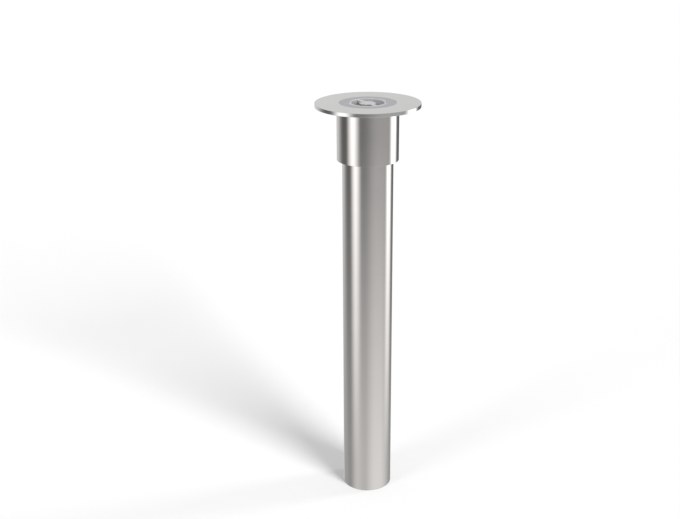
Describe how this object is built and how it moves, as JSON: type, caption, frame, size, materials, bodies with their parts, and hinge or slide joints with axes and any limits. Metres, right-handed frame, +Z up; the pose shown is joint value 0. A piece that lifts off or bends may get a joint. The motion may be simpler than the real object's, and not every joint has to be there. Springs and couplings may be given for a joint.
{
  "type": "retractable bollard",
  "caption": "Lift-up bollard lowered in its ground housing: round flange, collar, long sleeve tube, sliding post with hand grip and key lock.",
  "frame": {"origin": "middle of the housing's foot, on the ground plane", "axes": "+Z up along the post, from the foot to the flange; +X towards the right-hand bolt"},
  "size_m": [0.285, 0.285, 1.15],
  "materials": {
    "stainless_brushed": "brushed along the tube",
    "stainless_fine": "fine satin",
    "inner_steel": "mill finish",
    "fastener_steel": "plain machined",
    "ring_grey": "grey hard anodised",
    "rubber_black": "matte",
    "bearing_polymer": "natural acetal",
    "bush_brass": "machined",
    "foot_aluminium": "machined",
    "reflective_white": "retroreflective film"
  },
  "bodies": {
    "housing": {"flange_plate": "stainless_fine", "collar_tube": "stainless_brushed", "stop_ring": "stainless_brushed", "sleeve_tube": "stainless_brushed", "base_plate": "inner_steel", "drain_grate": "inner_steel", "grate_screws": "fastener_steel", "bottom_buffer": "rubber_black", "catch_rail_left": "inner_steel", "catch_rail_right": "inner_steel", "lower_bearing": "bearing_polymer", "bearing_spacer": "inner_steel", "upper_bearing": "bearing_polymer", "tie_bolts": "fastener_steel", "wiper_seal": "rubber_black", "top_ring": "ring_grey", "top_ring_o_ring": "rubber_black"},
    "post": {"post_tube": "stainless_brushed", "reflective_band": "reflective_white", "head_cap": "stainless_fine", "cap_screws": "fastener_steel", "grip_bar": "stainless_fine", "grip_screws": "fastener_steel", "spindle_bush": "bush_brass", "spindle_seal": "rubber_black", "cover_pin": "fastener_steel", "rod_guide_lower": "bearing_polymer", "rod_guide_upper": "bearing_polymer", "foot_plug": "foot_aluminium", "foot_shoe_lower": "bearing_polymer", "foot_shoe_upper": "bearing_polymer", "shoe_screws": "fastener_steel", "bumper_ring": "rubber_black", "foot_cover": "foot_aluminium", "foot_cover_screws": "fastener_steel"},
    "lock": {"drive_spindle": "bush_brass", "spindle_clip": "fastener_steel", "rod_coupling": "inner_steel", "coupling_pins": "fastener_steel", "torsion_rod": "inner_steel", "cam_disc": "inner_steel", "cam_screw": "fastener_steel"},
    "bolt_left": {"latch_bolt_left": "fastener_steel", "follower_pin_left": "fastener_steel"},
    "bolt_right": {"latch_bolt_right": "fastener_steel", "follower_pin_right": "fastener_steel"},
    "lid": {"lock_cover": "stainless_fine"}
  },
  "joints": [
    {"name": "post_lift", "type": "slide", "parent": "housing", "child": "post", "axis": [0, 0, 1], "range_m": [0, 0.87]},
    {"name": "lock_turn", "type": "hinge", "parent": "post", "child": "lock", "pos_m": [0, 0, 1.1], "axis": [0, 0, 1], "range_deg": [0, 90]},
    {"name": "bolt_left_slide", "type": "slide", "parent": "post", "child": "bolt_left", "axis": [-1, 0, 0], "range_m": [0, 0.0085]},
    {"name": "bolt_right_slide", "type": "slide", "parent": "post", "child": "bolt_right", "axis": [1, 0, 0], "range_m": [0, 0.0085]},
    {"name": "lid_flip", "type": "hinge", "parent": "post", "child": "lid", "pos_m": [-0.01697, -0.0098, 1.1468], "axis": [0.5, -0.866, 0], "range_deg": [0, 105]}
  ],
  "couplings": [
    {"joint": "bolt_left_slide", "follows": "lock_turn", "m_per_rad": 0.005411},
    {"joint": "bolt_right_slide", "follows": "lock_turn", "m_per_rad": 0.005411}
  ]
}
